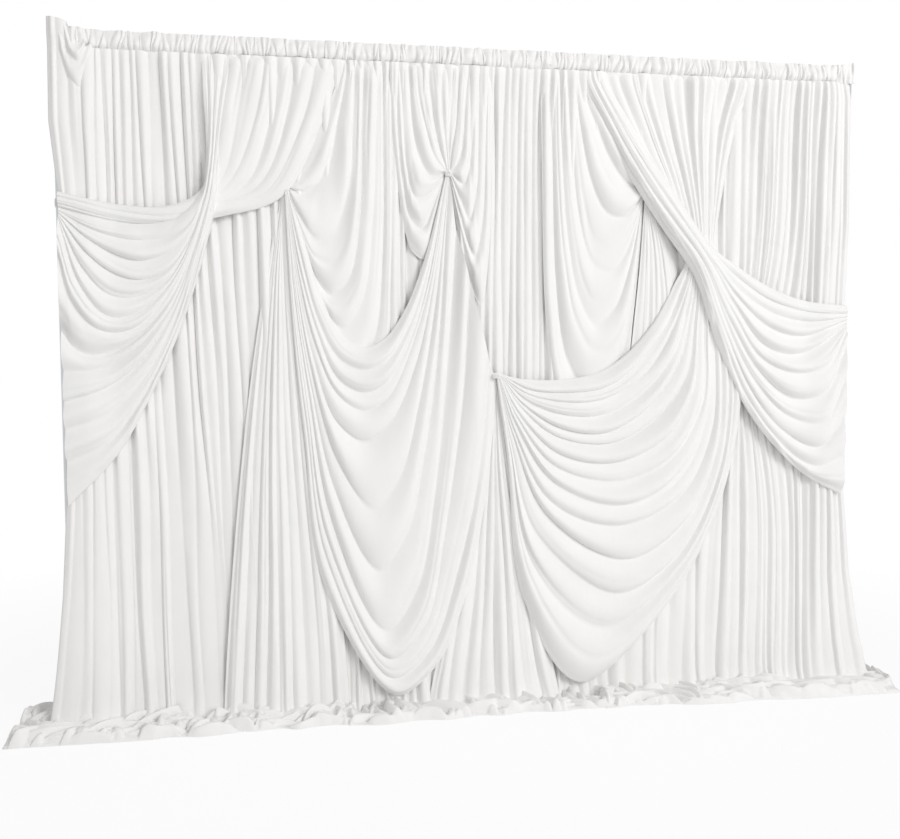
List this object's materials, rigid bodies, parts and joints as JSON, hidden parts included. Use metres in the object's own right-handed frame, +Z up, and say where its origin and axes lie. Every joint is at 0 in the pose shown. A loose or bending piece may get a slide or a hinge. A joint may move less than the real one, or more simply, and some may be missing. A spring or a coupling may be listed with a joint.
{
  "type": "pipe and drape backdrop",
  "caption": "Freestanding pipe and drape backdrop: slotted uprights on flat base plates, a hook-in telescoping crossbar, and pleated, crossed and swagged white drapes.",
  "frame": {"origin": "on the floor, midway between the uprights", "axes": "+X to the right along the crossbar, +Y to the back, +Z up; the dressed front faces -Y"},
  "size_m": [3.24, 0.34, 2.4592],
  "materials": {
    "base_paint": "satin powder coat",
    "zinc_steel": "zinc plated",
    "tube_aluminium": "satin anodised",
    "black_plastic": "moulded",
    "white_knit": "soft satin knit"
  },
  "bodies": {
    "left_stand": {"left_base_plate": "base_paint", "left_base_pin": "zinc_steel", "left_pin_bolt": "zinc_steel", "left_lower_tube": "tube_aluminium", "left_spigot": "tube_aluminium", "left_spigot_rivet": "zinc_steel", "left_upper_tube": "tube_aluminium", "left_top_cap": "black_plastic", "left_button_spring": "zinc_steel", "left_post_tie": "white_knit"},
    "right_stand": {"right_base_plate": "base_paint", "right_base_pin": "zinc_steel", "right_pin_bolt": "zinc_steel", "right_lower_tube": "tube_aluminium", "right_spigot": "tube_aluminium", "right_spigot_rivet": "zinc_steel", "right_upper_tube": "tube_aluminium", "right_top_cap": "black_plastic", "right_button_spring": "zinc_steel", "right_post_tie": "white_knit"},
    "crossbar_outer": {"crossbar_outer_tube": "tube_aluminium", "left_end_plug": "black_plastic", "left_hook": "zinc_steel", "left_hook_rivet": "zinc_steel", "crossbar_bushing": "black_plastic", "left_back_drape": "white_knit", "centre_back_drape": "white_knit", "right_back_drape": "white_knit", "left_hem": "white_knit", "centre_hem": "white_knit", "right_hem": "white_knit", "left_cowl": "white_knit", "left_fan": "white_knit", "bow_drape": "white_knit", "centre_fan": "white_knit", "right_cowl": "white_knit", "right_fan": "white_knit", "centre_drape": "white_knit", "right_swag": "white_knit", "left_belt_drape": "white_knit", "right_crossed_drape": "white_knit", "left_crossed_drape": "white_knit", "bow_band": "white_knit", "swag_band": "white_knit"},
    "crossbar_inner": {"crossbar_inner_tube": "tube_aluminium", "crossbar_inner_glide": "black_plastic", "right_end_plug": "black_plastic", "right_hook": "zinc_steel", "right_hook_rivet": "zinc_steel"},
    "left_button": {"left_snap_button": "zinc_steel"},
    "right_button": {"right_snap_button": "zinc_steel"}
  },
  "joints": [
    {"name": "width", "type": "slide", "parent": "left_stand", "child": "right_stand", "axis": [1, 0, 0], "range_m": [-1.07, 0], "deforming": ["left_back_drape", "centre_back_drape", "right_back_drape", "left_hem", "centre_hem", "right_hem", "left_cowl", "left_fan", "bow_drape", "centre_fan", "right_cowl", "right_fan", "centre_drape", "right_swag", "left_belt_drape", "right_crossed_drape", "left_crossed_drape", "bow_band", "swag_band"]},
    {"name": "crossbar_lift", "type": "slide", "parent": "left_stand", "child": "crossbar_outer", "axis": [0, 0, 1], "range_m": [0, 0.013]},
    {"name": "telescope", "type": "slide", "parent": "crossbar_outer", "child": "crossbar_inner", "axis": [1, 0, 0], "range_m": [-1.07, 0]},
    {"name": "left_button_press", "type": "slide", "parent": "left_stand", "child": "left_button", "axis": [0, -1, 0], "range_m": [0, 0.0055], "stiffness_N_per_m": 1500, "springref_m": -0.003, "deforming": ["left_button_spring"]},
    {"name": "right_button_press", "type": "slide", "parent": "right_stand", "child": "right_button", "axis": [0, -1, 0], "range_m": [0, 0.0055], "stiffness_N_per_m": 1500, "springref_m": -0.003, "deforming": ["right_button_spring"]}
  ],
  "couplings": [
    {"joint": "telescope", "follows": "width", "ratio": 1}
  ]
}
